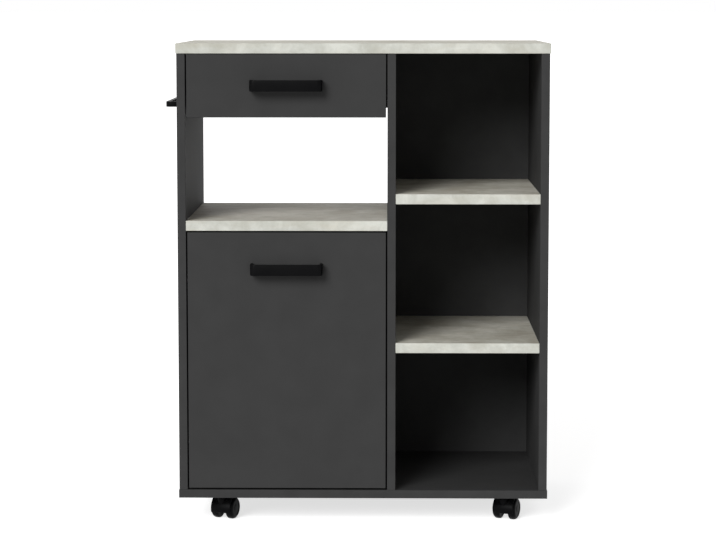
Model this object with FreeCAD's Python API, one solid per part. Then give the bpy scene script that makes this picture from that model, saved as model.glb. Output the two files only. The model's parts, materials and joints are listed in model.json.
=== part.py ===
import FreeCAD, Part

# A kitchen serving cart on four twin-wheel casters.
# Left column: drawer, open niche, hinged door. Right column: three open bays.
# Seen from the front, +X is to the right, +Y goes into the depth and +Z is up.
# The origin is the middle of the whole cart's footprint, on the floor. Sizes are millimetres.

import math
import os

V = FreeCAD.Vector
X_AXIS = V(1, 0, 0)
Y_AXIS = V(0, 1, 0)
Z_AXIS = V(0, 0, 1)
QUARTER_TURN = -90

# Carcass
CARCASS_WIDTH = 663.0
CARCASS_DEPTH = 400.0
UPRIGHT_HEIGHT = 786.0
BOARD = 15.0
DECOR_BOARD = 18.0
LEFT_BAY_WIDTH = 360.0
RIGHT_BAY_HEIGHT = 250.0
NICHE_SHELF_DROP = 298.0
CASTER_HEIGHT = 48.0
TOP_SIDE_OVERHANG = 1.5
TOP_FRONT_OVERHANG = 2.0
BOTTOM_SIDE_OVERHANG = 1.0

# Back panels in grooves, and the rail behind the drawer
BACK_FACE_DEPTH = 365.0
BACK_THICKNESS = 3.0
GROOVE_DEPTH = 5.0
GROOVE_WIDTH = 3.2
GROOVE_BITE = 4.5
NICHE_SHELF_DEPTH = 380.0
REAR_RAIL_HEIGHT = 112.0

# Fronts
FRONT_GAP = 2.5
DRAWER_FRONT_DROP = 113.6
DRAWER_TOP_GAP = 0.8
DOOR_TOP_GAP = 2.9
DOOR_BOTTOM_GAP = 3.4

# Strap handles and towel rail
HANDLE_LENGTH = 129.0
HANDLE_HEIGHT = 20.0
HANDLE_STRAP = 5.0
HANDLE_REACH = 27.0
HANDLE_BEND = 9.0
DRAWER_HANDLE_DROP = 56.5
DOOR_HANDLE_DROP = 65.0
RAIL_LENGTH = 268.0
RAIL_STRAP = 8.0
RAIL_HEIGHT = 10.0
RAIL_REACH = 25.5
RAIL_BEND = 9.0
RAIL_FRONT_SETBACK = 65.0
RAIL_DROP = 110.5

# Drawer box
DRAWER_BOARD = 12.0
RUNNER_GAP = 12.5
DRAWER_SIDE_HEIGHT = 75.0
DRAWER_SIDE_LENGTH = 335.0
DRAWER_BOTTOM_RISE = 8.0

# Roller runners, sizes across from the upright and up from the cabinet runner's floor
RUNNER_BOTTOM_RISE = 17.1
RUNNER_SHEET = 1.0
CABINET_RUNNER_LENGTH = 345.0
CABINET_RUNNER_SETBACK = 17.0
DRAWER_RUNNER_LENGTH = 332.0
TRACK_REACH = 10.6
TRACK_LIP = 4.0
HOLD_DOWN_HEIGHT = 21.0
HOLD_DOWN_REACH = 8.0
CROWN_UNDERSIDE = 19.4
CROWN_INNER = 2.6
CROWN_LIP_DROP = 3.4
DRAWER_SEAT = 5.0
ROLLER_RADIUS = 8.5
ROLLER_WIDTH = 5.0
ROLLER_OFFSET = 4.2
ROLLER_PLAY = 0.15
STUB_RADIUS = 2.0
STUB_CLEARANCE = 0.06
STUB_HEAD = 0.4
FRONT_ROLLER_SETBACK = 29.0
REAR_ROLLER_SETBACK = 335.0

# Single-pivot cup hinges
PIVOT_FROM_EDGE = 10.0
PIVOT_DEPTH = 6.5
CUP_CENTRE_FROM_PIVOT = 11.5
CUP_RADIUS = 17.5
CUP_INNER_RADIUS = 16.3
CUP_FLOOR_DEPTH = 3.0
CUP_FLOOR = 0.8
CUP_FLANGE = 1.0
CUP_WING_LENGTH = 29.0
CUP_WING_WIDTH = 14.0
HINGE_INSET = 85.0
PIN_RADIUS = 1.1
PIN_HALF_LENGTH = 12.0
KNUCKLE_RADIUS = 2.4
PIN_CLEARANCE = 0.05
ARM_HALF_WIDTH = 6.0
ARM_THICKNESS = 3.0
ARM_MID_RADIUS = 16.0
ARM_START_ANGLE = 8.0
ARM_LENGTH = 58.0
HINGE_PLATE_THICKNESS = 2.5
HINGE_PLATE_START = 15.0
HINGE_PLATE_LENGTH = 47.0
HINGE_PLATE_HALF_WIDTH = 8.0
HINGE_WING_START = 30.0
HINGE_WING_LENGTH = 16.0
HINGE_WING_HALF_SPAN = 24.0

# Casters, in a frame whose origin is the swivel axis on the floor:
# the axle runs along X and the wheels roll along Y
WHEEL_RADIUS = 20.0
WHEEL_INNER = 8.0
WHEEL_WIDTH = 14.0
WHEEL_HUB_WALL = 1.5
CASTER_TRAIL = 13.0
CASTER_YAW = -22.0
CASTER_SIDE_INSET = 74.5
CASTER_END_INSET = 40.0
AXLE_RADIUS = 2.5
AXLE_CLEARANCE = 0.05
AXLE_HALF_LENGTH = 19.5
FORK_HALF_WIDTH = 7.0
FORK_TAIL = 6.0
BOSS_LENGTH = 16.0
BOSS_RISE = 8.0
KINGPIN_RADIUS = 3.0
KINGPIN_CLEARANCE = 0.08
KINGPIN_ROOT = 1.0
HOOD_INNER_RADIUS = 21.2
HOOD_OUTER_RADIUS = 22.8
HOOD_HALF_WIDTH = 19.0
HOOD_START_ANGLE = 45.0
HOOD_END_ANGLE = 197.0
PLATE_SIDE = 42.0
PLATE_THICKNESS = 2.5
PLATE_CORNER = 5.0
SWIVEL_GAP = 0.3

# Places worked out from the sizes above
LEFT_X = -(CARCASS_WIDTH + TOP_SIDE_OVERHANG - RAIL_REACH) / 2
RIGHT_X = LEFT_X + CARCASS_WIDTH
FRONT_Y = -(CARCASS_DEPTH - HANDLE_REACH) / 2
REAR_Y = FRONT_Y + CARCASS_DEPTH
BAY_X0 = LEFT_X + BOARD
BAY_X1 = BAY_X0 + LEFT_BAY_WIDTH
RIGHT_BAY_X0 = BAY_X1 + BOARD
RIGHT_BAY_X1 = RIGHT_X - BOARD
FLOOR_Z = CASTER_HEIGHT + BOARD
TOP_Z = FLOOR_Z + UPRIGHT_HEIGHT
NICHE_Z = TOP_Z - NICHE_SHELF_DROP
DOOR_BAY_TOP = NICHE_Z - DECOR_BOARD
UPPER_SHELF_Z = TOP_Z - RIGHT_BAY_HEIGHT
LOWER_SHELF_Z = UPPER_SHELF_Z - DECOR_BOARD - RIGHT_BAY_HEIGHT
BACK_Y = FRONT_Y + BACK_FACE_DEPTH
FRONT_X0 = BAY_X0 + FRONT_GAP
FRONT_X1 = BAY_X1 - FRONT_GAP
DRAWER_FRONT_Z0 = TOP_Z - DRAWER_FRONT_DROP
DRAWER_FRONT_Z1 = TOP_Z - DRAWER_TOP_GAP
DOOR_Z0 = FLOOR_Z + DOOR_BOTTOM_GAP
DOOR_Z1 = DOOR_BAY_TOP - DOOR_TOP_GAP
DRAWER_X0 = BAY_X0 + RUNNER_GAP
DRAWER_X1 = BAY_X1 - RUNNER_GAP
DRAWER_Y0 = FRONT_Y + BOARD
DRAWER_Y1 = DRAWER_Y0 + DRAWER_SIDE_LENGTH
RUNNER_Z = DRAWER_FRONT_Z0 + RUNNER_BOTTOM_RISE
DRAWER_Z0 = RUNNER_Z + DRAWER_SEAT
DRAWER_Z1 = DRAWER_Z0 + DRAWER_SIDE_HEIGHT
DRAWER_BOTTOM_Z = DRAWER_Z0 + DRAWER_BOTTOM_RISE
PIVOT_X = FRONT_X0 + PIVOT_FROM_EDGE
PIVOT_Y = FRONT_Y + PIVOT_DEPTH
CUP_X = PIVOT_X + CUP_CENTRE_FROM_PIVOT
HINGE_HEIGHTS = (DOOR_Z0 + HINGE_INSET, DOOR_Z1 - HINGE_INSET)
HANDLE_X = (FRONT_X0 + FRONT_X1) / 2
WORKTOP_TOP = TOP_Z + DECOR_BOARD

parts = {}


def block(x0, x1, y0, y1, z0, z1):
    """A board or other plain block between two corners."""
    return Part.makeBox(x1 - x0, y1 - y0, z1 - z0, V(x0, y0, z0))


def rod(radius, start, direction, length):
    """A round rod that starts at a point and runs along a direction."""
    return Part.makeCylinder(radius, length, start, direction)


def drilled(board, tools):
    """A board with all its holes and grooves cut."""
    return board.cut(Part.makeCompound(tools)).removeSplitter()


def joined(shapes):
    """Several touching shapes made one piece."""
    whole = shapes[0].multiFuse(shapes[1:])
    return whole.removeSplitter()


def outline_face(edges):
    """A flat face inside a closed run of edges."""
    return Part.Face(Part.Wire(edges))


def polygon_face(points):
    """A flat face with straight sides."""
    return Part.Face(Part.makePolygon(points + [points[0]]))


def line(start, end):
    """A straight edge."""
    return Part.LineSegment(start, end).toShape()


def arc(start, middle, end):
    """A round edge through three points."""
    return Part.Arc(start, middle, end).toShape()


def keep(node, shapes):
    """Stores a piece, or a group of alike pieces, under its node name."""
    group = shapes if isinstance(shapes, list) else [shapes]
    parts[node] = group


def back_groove(x0, x1, z0, z1):
    """The groove that a back panel's edge stands in."""
    play = (GROOVE_WIDTH - BACK_THICKNESS) / 2
    return block(x0, x1, BACK_Y - play, BACK_Y + BACK_THICKNESS + play, z0, z1)


def build_boards():
    """The uprights, the worktop, the bottom panel, the shelves, the rear rail and the back panels."""

    def upright(node, x0, x1, grooves):
        body = block(x0, x1, FRONT_Y, REAR_Y, FLOOR_Z, TOP_Z)
        keep(node, drilled(body, grooves))

    left_groove_top = DOOR_BAY_TOP + GROOVE_DEPTH
    left_groove = back_groove(BAY_X0 - GROOVE_DEPTH, BAY_X0, FLOOR_Z, left_groove_top)
    divider_grooves = [
        back_groove(BAY_X1, BAY_X1 + GROOVE_DEPTH, FLOOR_Z, left_groove_top),
        back_groove(RIGHT_BAY_X0 - GROOVE_DEPTH, RIGHT_BAY_X0, FLOOR_Z, TOP_Z),
    ]
    right_groove = back_groove(RIGHT_BAY_X1, RIGHT_BAY_X1 + GROOVE_DEPTH, FLOOR_Z, TOP_Z)
    upright("left_side_panel", LEFT_X, BAY_X0, [left_groove])
    upright("centre_divider", BAY_X1, RIGHT_BAY_X0, divider_grooves)
    upright("right_side_panel", RIGHT_BAY_X1, RIGHT_X, [right_groove])

    worktop = block(
        LEFT_X - TOP_SIDE_OVERHANG, RIGHT_X + TOP_SIDE_OVERHANG,
        FRONT_Y - TOP_FRONT_OVERHANG, REAR_Y, TOP_Z, WORKTOP_TOP,
    )
    worktop_groove = back_groove(RIGHT_BAY_X0 - GROOVE_DEPTH, RIGHT_BAY_X1 + GROOVE_DEPTH,
                                 TOP_Z, TOP_Z + GROOVE_DEPTH)
    keep("worktop", drilled(worktop, [worktop_groove]))

    bottom = block(
        LEFT_X - BOTTOM_SIDE_OVERHANG, RIGHT_X + BOTTOM_SIDE_OVERHANG,
        FRONT_Y, REAR_Y, CASTER_HEIGHT, FLOOR_Z,
    )
    bottom_grooves = [
        back_groove(x0 - GROOVE_DEPTH, x1 + GROOVE_DEPTH, FLOOR_Z - GROOVE_DEPTH, FLOOR_Z)
        for x0, x1 in ((BAY_X0, BAY_X1), (RIGHT_BAY_X0, RIGHT_BAY_X1))
    ]
    keep("bottom_panel", drilled(bottom, bottom_grooves))

    niche = block(BAY_X0, BAY_X1, FRONT_Y, FRONT_Y + NICHE_SHELF_DEPTH, DOOR_BAY_TOP, NICHE_Z)
    niche_groove = back_groove(BAY_X0, BAY_X1, DOOR_BAY_TOP, left_groove_top)
    keep("niche_shelf", drilled(niche, [niche_groove]))
    for node, top in (("upper_shelf", UPPER_SHELF_Z), ("lower_shelf", LOWER_SHELF_Z)):
        keep(node, block(RIGHT_BAY_X0, RIGHT_BAY_X1, FRONT_Y, BACK_Y, top - DECOR_BOARD, top))
    keep("rear_rail", block(BAY_X0, BAY_X1, BACK_Y, BACK_Y + BOARD, TOP_Z - REAR_RAIL_HEIGHT, TOP_Z))

    keep("back_panel_left", block(
        BAY_X0 - GROOVE_BITE, BAY_X1 + GROOVE_BITE, BACK_Y, BACK_Y + BACK_THICKNESS,
        FLOOR_Z - GROOVE_BITE, DOOR_BAY_TOP + GROOVE_BITE,
    ))
    keep("back_panel_right", block(
        RIGHT_BAY_X0 - GROOVE_BITE, RIGHT_BAY_X1 + GROOVE_BITE, BACK_Y, BACK_Y + BACK_THICKNESS,
        FLOOR_Z - GROOVE_BITE, TOP_Z + GROOVE_BITE,
    ))


def strap(length, reach, thickness, bend, width):
    """A flat strap bent to a bow, standing on the XZ plane and reaching towards -Y."""
    half = length / 2
    inner = bend - thickness
    cos45 = math.cos(math.radians(45))
    outer_mid = bend * (1 - cos45)
    inner_mid = thickness + inner * (1 - cos45)
    edges = [
        line(V(-half, 0, 0), V(-half, bend - reach, 0)),
        arc(V(-half, bend - reach, 0), V(-half + outer_mid, outer_mid - reach, 0),
            V(-half + bend, -reach, 0)),
        line(V(-half + bend, -reach, 0), V(half - bend, -reach, 0)),
        arc(V(half - bend, -reach, 0), V(half - outer_mid, outer_mid - reach, 0), V(half, bend - reach, 0)),
        line(V(half, bend - reach, 0), V(half, 0, 0)),
        line(V(half, 0, 0), V(half - thickness, 0, 0)),
        line(V(half - thickness, 0, 0), V(half - thickness, bend - reach, 0)),
        arc(V(half - thickness, bend - reach, 0), V(half - inner_mid, inner_mid - reach, 0),
            V(half - bend, thickness - reach, 0)),
        line(V(half - bend, thickness - reach, 0), V(bend - half, thickness - reach, 0)),
        arc(V(bend - half, thickness - reach, 0), V(inner_mid - half, inner_mid - reach, 0),
            V(thickness - half, bend - reach, 0)),
        line(V(thickness - half, bend - reach, 0), V(thickness - half, 0, 0)),
        line(V(thickness - half, 0, 0), V(-half, 0, 0)),
    ]
    bow = outline_face(edges).extrude(Z_AXIS * width)
    bow.translate(V(0, 0, -width / 2))
    return bow


def build_handle(node, z):
    """A strap handle, upright on its front."""
    bow = strap(HANDLE_LENGTH, HANDLE_REACH, HANDLE_STRAP, HANDLE_BEND, HANDLE_HEIGHT)
    bow.translate(V(HANDLE_X, FRONT_Y, z))
    keep(node, bow)


def build_towel_rail():
    """The towel rail on the left side panel, front to back."""
    bow = strap(RAIL_LENGTH, RAIL_REACH, RAIL_STRAP, RAIL_BEND, RAIL_HEIGHT)
    bow.rotate(V(0, 0, 0), Z_AXIS, QUARTER_TURN)
    bow.translate(V(LEFT_X, FRONT_Y + RAIL_FRONT_SETBACK + RAIL_LENGTH / 2, WORKTOP_TOP - RAIL_DROP))
    keep("towel_rail", bow)


def runner_point(side, across, up):
    """A point of a runner's section: across from the upright's face, up from the runner's floor."""
    face = BAY_X0 if side < 0 else BAY_X1
    return V(face - side * across, 0, RUNNER_Z + up)


def runner_section(side, sizes):
    """A runner's section from (across, up) pairs."""
    return polygon_face([runner_point(side, across, up) for across, up in sizes])


def roller(start, direction):
    """A runner's roller, bored for its stub axle."""
    wheel = rod(ROLLER_RADIUS, start, direction, ROLLER_WIDTH)
    return wheel.cut(rod(STUB_RADIUS + STUB_CLEARANCE, start, direction, ROLLER_WIDTH))


def build_runners():
    """The pair of roller runners: cabinet runners, drawer runners and their rollers."""
    sheet = RUNNER_SHEET
    cabinet = [
        (0, 0), (TRACK_REACH, 0), (TRACK_REACH, TRACK_LIP), (TRACK_REACH - sheet, TRACK_LIP),
        (TRACK_REACH - sheet, sheet), (sheet, sheet), (sheet, HOLD_DOWN_HEIGHT),
        (HOLD_DOWN_REACH, HOLD_DOWN_HEIGHT), (HOLD_DOWN_REACH, HOLD_DOWN_HEIGHT + sheet),
        (0, HOLD_DOWN_HEIGHT + sheet),
    ]
    web = RUNNER_GAP - sheet
    crown_top = CROWN_UNDERSIDE + sheet
    lip_end = CROWN_UNDERSIDE - CROWN_LIP_DROP
    drawer = [
        (RUNNER_GAP + DRAWER_BOARD, DRAWER_SEAT - sheet), (RUNNER_GAP + DRAWER_BOARD, DRAWER_SEAT),
        (RUNNER_GAP, DRAWER_SEAT), (RUNNER_GAP, crown_top), (CROWN_INNER, crown_top), (CROWN_INNER, lip_end),
        (CROWN_INNER + sheet, lip_end), (CROWN_INNER + sheet, CROWN_UNDERSIDE), (web, CROWN_UNDERSIDE),
        (web, DRAWER_SEAT - sheet),
    ]
    front_up = CROWN_UNDERSIDE - ROLLER_PLAY - ROLLER_RADIUS
    rear_up = sheet + ROLLER_PLAY + ROLLER_RADIUS
    stub_reach = ROLLER_OFFSET + ROLLER_WIDTH + STUB_HEAD
    front_rollers = []
    rear_rollers = []
    for side, name in ((-1, "left"), (1, "right")):
        inward = X_AXIS * -side
        front_y = Y_AXIS * (FRONT_Y + FRONT_ROLLER_SETBACK)
        rear_y = Y_AXIS * (FRONT_Y + REAR_ROLLER_SETBACK)
        rail = runner_section(side, cabinet).extrude(Y_AXIS * CABINET_RUNNER_LENGTH)
        rail.translate(Y_AXIS * (FRONT_Y + CABINET_RUNNER_SETBACK))
        front_stub = rod(STUB_RADIUS, runner_point(side, 0, front_up) + front_y, inward, stub_reach)
        keep("cabinet_runner_" + name, joined([rail, front_stub]))

        slide = runner_section(side, drawer).extrude(Y_AXIS * DRAWER_RUNNER_LENGTH)
        slide.translate(Y_AXIS * DRAWER_Y0)
        stub_start = runner_point(side, RUNNER_GAP, rear_up) + rear_y
        rear_stub = rod(STUB_RADIUS, stub_start, -inward, RUNNER_GAP - ROLLER_OFFSET + STUB_HEAD)
        keep("drawer_runner_" + name, joined([slide, rear_stub]))

        front_rollers.append(roller(runner_point(side, ROLLER_OFFSET, front_up) + front_y, inward))
        rear_rollers.append(roller(runner_point(side, ROLLER_OFFSET, rear_up) + rear_y, inward))
    keep("front_rollers", front_rollers)
    keep("rear_rollers", rear_rollers)


def build_drawer():
    """The drawer's front and box."""
    play = (GROOVE_WIDTH - BACK_THICKNESS) / 2
    inner_x0 = DRAWER_X0 + DRAWER_BOARD
    inner_x1 = DRAWER_X1 - DRAWER_BOARD
    back_y = DRAWER_Y1 - DRAWER_BOARD
    groove = block(
        inner_x0 - GROOVE_DEPTH, inner_x1 + GROOVE_DEPTH, DRAWER_Y0 - GROOVE_DEPTH, back_y + GROOVE_DEPTH,
        DRAWER_BOTTOM_Z - play, DRAWER_BOTTOM_Z + BACK_THICKNESS + play,
    )
    build_handle("drawer_handle", TOP_Z - DRAWER_HANDLE_DROP)
    front = block(FRONT_X0, FRONT_X1, FRONT_Y, DRAWER_Y0, DRAWER_FRONT_Z0, DRAWER_FRONT_Z1)
    keep("drawer_front", drilled(front, [groove]))
    for name, x0 in (("left", DRAWER_X0), ("right", inner_x1)):
        side = block(x0, x0 + DRAWER_BOARD, DRAWER_Y0, DRAWER_Y1, DRAWER_Z0, DRAWER_Z1)
        keep("drawer_side_" + name, drilled(side, [groove]))
    back = block(inner_x0, inner_x1, back_y, DRAWER_Y1, DRAWER_Z0, DRAWER_Z1)
    keep("drawer_back", drilled(back, [groove]))
    keep("drawer_bottom", block(
        inner_x0 - GROOVE_BITE, inner_x1 + GROOVE_BITE, DRAWER_Y0 - GROOVE_BITE, back_y + GROOVE_BITE,
        DRAWER_BOTTOM_Z, DRAWER_BOTTOM_Z + BACK_THICKNESS,
    ))


def hinge_cup_hole(z):
    """The round pocket in the door's back for one hinge cup."""
    floor_y = FRONT_Y + CUP_FLOOR_DEPTH
    return rod(CUP_RADIUS, V(CUP_X, floor_y, z), Y_AXIS, BOARD)


def hinge_pin(z):
    """The pin through the cup's walls."""
    return rod(PIN_RADIUS, V(PIVOT_X, PIVOT_Y, z - PIN_HALF_LENGTH), Z_AXIS, 2 * PIN_HALF_LENGTH)


def hinge_cup(z):
    """A pressed cup, with two screw wings that lie on the door's back."""
    floor_y = FRONT_Y + CUP_FLOOR_DEPTH
    rim_y = FRONT_Y + BOARD + CUP_FLANGE
    wall = rod(CUP_RADIUS, V(CUP_X, floor_y, z), Y_AXIS, rim_y - floor_y)
    wings = block(
        CUP_X - CUP_WING_WIDTH / 2, CUP_X + CUP_WING_WIDTH / 2, rim_y - CUP_FLANGE, rim_y,
        z - CUP_WING_LENGTH, z + CUP_WING_LENGTH,
    )
    hollow = rod(CUP_INNER_RADIUS, V(CUP_X, floor_y + CUP_FLOOR, z), Y_AXIS, BOARD)
    return joined([wall, wings]).cut(hollow)


def hinge_arm(z):
    """The bent arm: an eye on the pin, a swan's neck round the door's edge, and a straight foot."""
    inner = ARM_MID_RADIUS - ARM_THICKNESS / 2
    outer = ARM_MID_RADIUS + ARM_THICKNESS / 2
    half = ARM_THICKNESS / 2
    foot_outer_x = BAY_X0 + HINGE_PLATE_THICKNESS - PIVOT_X
    foot_inner_x = foot_outer_x + ARM_THICKNESS
    start = math.radians(ARM_START_ANGLE)

    def polar(radius, angle):
        return V(radius * math.cos(angle), radius * math.sin(angle), 0)

    eye = math.asin(half / KNUCKLE_RADIUS)
    neck_low = polar(outer, start - math.asin(half / outer))
    neck_high = polar(inner, start + math.asin(half / inner))
    middle = (start + math.pi / 2) / 2
    edges = [
        line(polar(KNUCKLE_RADIUS, start - eye), neck_low),
        arc(neck_low, polar(outer, middle), V(0, outer, 0)),
        line(V(0, outer, 0), V(foot_inner_x, outer, 0)),
        line(V(foot_inner_x, outer, 0), V(foot_inner_x, ARM_LENGTH, 0)),
        line(V(foot_inner_x, ARM_LENGTH, 0), V(foot_outer_x, ARM_LENGTH, 0)),
        line(V(foot_outer_x, ARM_LENGTH, 0), V(foot_outer_x, inner, 0)),
        line(V(foot_outer_x, inner, 0), V(0, inner, 0)),
        arc(V(0, inner, 0), polar(inner, middle), neck_high),
        line(neck_high, polar(KNUCKLE_RADIUS, start + eye)),
        arc(polar(KNUCKLE_RADIUS, start + eye), polar(KNUCKLE_RADIUS, start + math.pi),
            polar(KNUCKLE_RADIUS, start - eye)),
    ]
    arm = outline_face(edges).extrude(Z_AXIS * (2 * ARM_HALF_WIDTH))
    arm.translate(V(PIVOT_X, PIVOT_Y, z - ARM_HALF_WIDTH))
    bore_start = V(PIVOT_X, PIVOT_Y, z - ARM_HALF_WIDTH)
    return arm.cut(rod(PIN_RADIUS + PIN_CLEARANCE, bore_start, Z_AXIS, 2 * ARM_HALF_WIDTH))


def hinge_plate(z):
    """The mounting plate on the side panel, a bar with two screw wings."""
    x0 = BAY_X0
    x1 = BAY_X0 + HINGE_PLATE_THICKNESS
    start = PIVOT_Y + HINGE_PLATE_START
    bar = block(x0, x1, start, start + HINGE_PLATE_LENGTH,
                z - HINGE_PLATE_HALF_WIDTH, z + HINGE_PLATE_HALF_WIDTH)
    wing_start = PIVOT_Y + HINGE_WING_START
    wings = block(x0, x1, wing_start, wing_start + HINGE_WING_LENGTH,
                  z - HINGE_WING_HALF_SPAN, z + HINGE_WING_HALF_SPAN)
    return joined([bar, wings])


def build_door():
    """The door with its handle and the two hinges."""
    build_handle("door_handle", DOOR_Z1 - DOOR_HANDLE_DROP)
    door = block(FRONT_X0, FRONT_X1, FRONT_Y, FRONT_Y + BOARD, DOOR_Z0, DOOR_Z1)
    keep("door_panel", drilled(door, [hinge_cup_hole(z) for z in HINGE_HEIGHTS]))
    keep("hinge_cups", [hinge_cup(z) for z in HINGE_HEIGHTS])
    keep("hinge_pins", [hinge_pin(z) for z in HINGE_HEIGHTS])
    keep("hinge_arms", [hinge_arm(z) for z in HINGE_HEIGHTS])
    keep("hinge_plates", [hinge_plate(z) for z in HINGE_HEIGHTS])


def caster_plate():
    """The square top plate, its corners cut off, bored for the kingpin."""
    half = PLATE_SIDE / 2
    near = half - PLATE_CORNER
    z0 = CASTER_HEIGHT - PLATE_THICKNESS
    points = [
        V(half, -near, z0), V(half, near, z0), V(near, half, z0), V(-near, half, z0),
        V(-half, near, z0), V(-half, -near, z0), V(-near, -half, z0), V(near, -half, z0),
    ]
    plate = polygon_face(points).extrude(Z_AXIS * PLATE_THICKNESS)
    return plate.cut(rod(KINGPIN_RADIUS + KINGPIN_CLEARANCE, V(0, 0, z0), Z_AXIS, PLATE_THICKNESS))


def hood_point(x, radius, angle):
    """A point at an angle round the axle, in the plane across the caster at x."""
    turn = math.radians(angle)
    return V(x, CASTER_TRAIL + radius * math.cos(turn), WHEEL_RADIUS + radius * math.sin(turn))


def caster_hood():
    """The mudguard: a thin curved band round the axle, over the wheels and down in front of them."""
    x = -HOOD_HALF_WIDTH
    middle = (HOOD_START_ANGLE + HOOD_END_ANGLE) / 2
    outer_start = hood_point(x, HOOD_OUTER_RADIUS, HOOD_START_ANGLE)
    outer_end = hood_point(x, HOOD_OUTER_RADIUS, HOOD_END_ANGLE)
    inner_start = hood_point(x, HOOD_INNER_RADIUS, HOOD_START_ANGLE)
    inner_end = hood_point(x, HOOD_INNER_RADIUS, HOOD_END_ANGLE)
    edges = [
        arc(outer_start, hood_point(x, HOOD_OUTER_RADIUS, middle), outer_end),
        line(outer_end, inner_end),
        arc(inner_end, hood_point(x, HOOD_INNER_RADIUS, middle), inner_start),
        line(inner_start, outer_start),
    ]
    return outline_face(edges).extrude(X_AXIS * (2 * HOOD_HALF_WIDTH))


def caster_web():
    """The wall between the wheels: it fills the hood, down to a level foot."""
    x = -FORK_HALF_WIDTH
    middle = (HOOD_START_ANGLE + HOOD_END_ANGLE) / 2
    front = hood_point(x, HOOD_OUTER_RADIUS, HOOD_END_ANGLE)
    rear = hood_point(x, HOOD_OUTER_RADIUS, HOOD_START_ANGLE)
    foot = V(x, CASTER_TRAIL + FORK_TAIL, front.z)
    edges = [arc(rear, hood_point(x, HOOD_OUTER_RADIUS, middle), front), line(front, foot), line(foot, rear)]
    return outline_face(edges).extrude(X_AXIS * (2 * FORK_HALF_WIDTH))


def caster_axle():
    """The steel pin pressed through the housing, one wheel on each end."""
    return rod(AXLE_RADIUS, V(-AXLE_HALF_LENGTH, CASTER_TRAIL, WHEEL_RADIUS), X_AXIS, 2 * AXLE_HALF_LENGTH)


def caster_fork():
    """The housing: the hood and its web, bored for the axle, with the swivel boss and the kingpin."""
    top = CASTER_HEIGHT - PLATE_THICKNESS - SWIVEL_GAP
    boss = block(-FORK_HALF_WIDTH, FORK_HALF_WIDTH, -BOSS_LENGTH / 2, BOSS_LENGTH / 2,
                 WHEEL_RADIUS + BOSS_RISE, top)
    kingpin_foot = top - KINGPIN_ROOT
    kingpin = rod(KINGPIN_RADIUS, V(0, 0, kingpin_foot), Z_AXIS, CASTER_HEIGHT - SWIVEL_GAP - kingpin_foot)
    return joined([caster_web(), caster_hood(), boss, kingpin]).cut(caster_axle())


def caster_wheel(side):
    """One wheel: a drum with a closed outer face and a blind bore for the axle."""
    inner = V(side * WHEEL_INNER, CASTER_TRAIL, WHEEL_RADIUS)
    outward = X_AXIS * side
    drum = rod(WHEEL_RADIUS, inner, outward, WHEEL_WIDTH)
    return drum.cut(rod(AXLE_RADIUS + AXLE_CLEARANCE, inner, outward, WHEEL_WIDTH - WHEEL_HUB_WALL))


def build_casters():
    """Four casters, all turned the way the cart was last rolled."""
    xs = {"left": LEFT_X + CASTER_SIDE_INSET, "right": RIGHT_X - CASTER_SIDE_INSET}
    ys = {"front": FRONT_Y + CASTER_END_INSET, "rear": REAR_Y - CASTER_END_INSET}
    pieces = {
        "caster_fork": caster_fork(),
        "caster_axle": caster_axle(),
        "caster_wheel_a": caster_wheel(-1),
        "caster_wheel_b": caster_wheel(1),
    }
    plates = []
    for end, y in ys.items():
        for side, x in xs.items():
            plate = caster_plate()
            plate.translate(V(x, y, 0))
            plates.append(plate)
            for name, piece in pieces.items():
                placed = piece.copy()
                placed.rotate(V(0, 0, 0), Z_AXIS, CASTER_YAW)
                placed.translate(V(x, y, 0))
                keep(name + "_" + end + "_" + side, placed)
    keep("caster_plates", plates)


def write_parts():
    """Writes one STEP file per node."""
    os.makedirs("parts", exist_ok=True)
    for node, shapes in parts.items():
        for shape in shapes:
            if not shape.isValid() or len(shape.Solids) != 1:
                raise ValueError(node + " is not one sound solid")
        whole = shapes[0] if len(shapes) == 1 else Part.makeCompound(shapes)
        whole.exportStep(os.path.join("parts", node + ".step"))


build_boards()
build_towel_rail()
build_runners()
build_drawer()
build_door()
build_casters()
write_parts()
print(len(parts), "nodes,", sum(len(group) for group in parts.values()), "solids")
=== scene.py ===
"""Looks of a kitchen serving cart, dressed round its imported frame.

Sizes in the dataclasses are millimetres. Meshes are metres, in the frame's own axes:
+X to the right seen from the front, +Y into the depth, +Z up from the floor.
"""
from __future__ import annotations

import json
import logging
import math
from collections.abc import Iterable, Sequence
from dataclasses import dataclass, field
from enum import Enum
from functools import cache

import bmesh
import bpy
from mathutils import Matrix, Vector

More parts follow.
